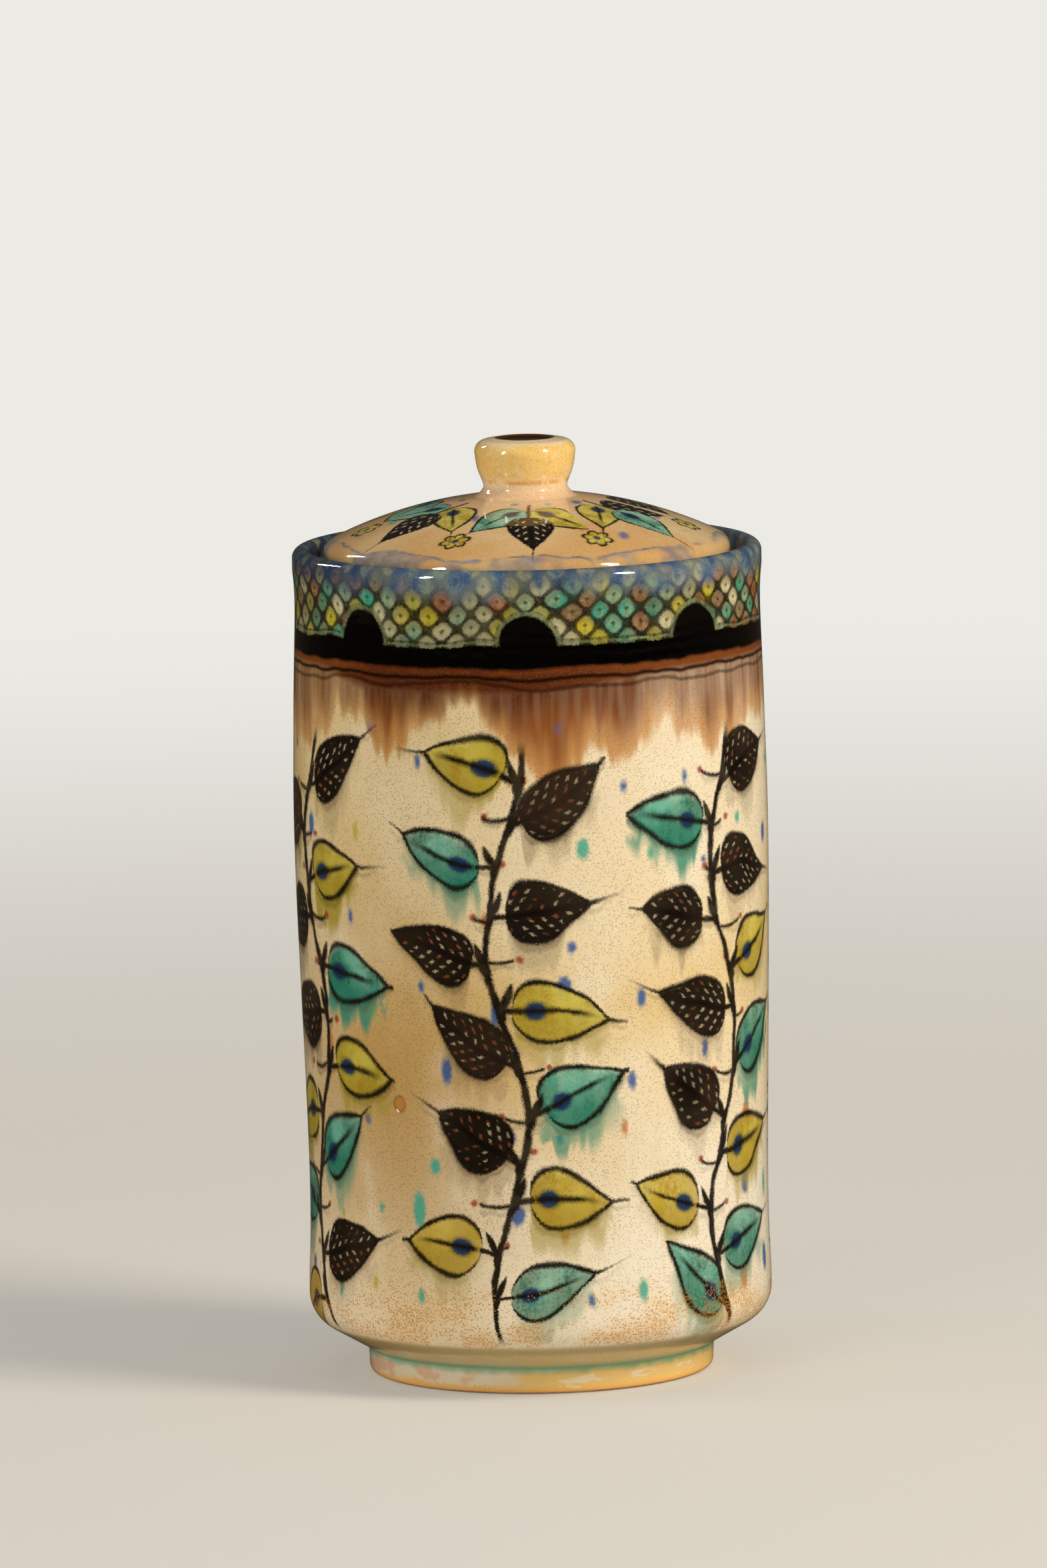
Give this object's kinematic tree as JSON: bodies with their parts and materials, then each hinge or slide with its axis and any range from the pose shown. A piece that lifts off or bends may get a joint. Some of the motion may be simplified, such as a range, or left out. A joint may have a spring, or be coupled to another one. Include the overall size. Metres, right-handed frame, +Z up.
{
  "type": "lidded jar",
  "caption": "Tall cylindrical pottery jar for chocolates, with a turned foot ring, a ledge inside the rim and a domed drop-in lid lifted by a flared knob.",
  "frame": {"origin": "middle of the foot ring's resting face", "axes": "+Z up along the turning axis, through the knob; +X and +Y lie in the resting face"},
  "size_m": [0.1218, 0.1218, 0.2404],
  "materials": {
    "jar_glaze": "gloss",
    "lid_glaze": "gloss",
    "knob_glaze": "gloss"
  },
  "bodies": {
    "vessel": {"jar": "jar_glaze"},
    "cover": {"lid": "lid_glaze", "lid_knob": "knob_glaze"}
  },
  "joints": [
    {"name": "lid_lift", "type": "slide", "parent": "vessel", "child": "cover", "axis": [0, 0, 1], "range_m": [0, 0.08]}
  ]
}
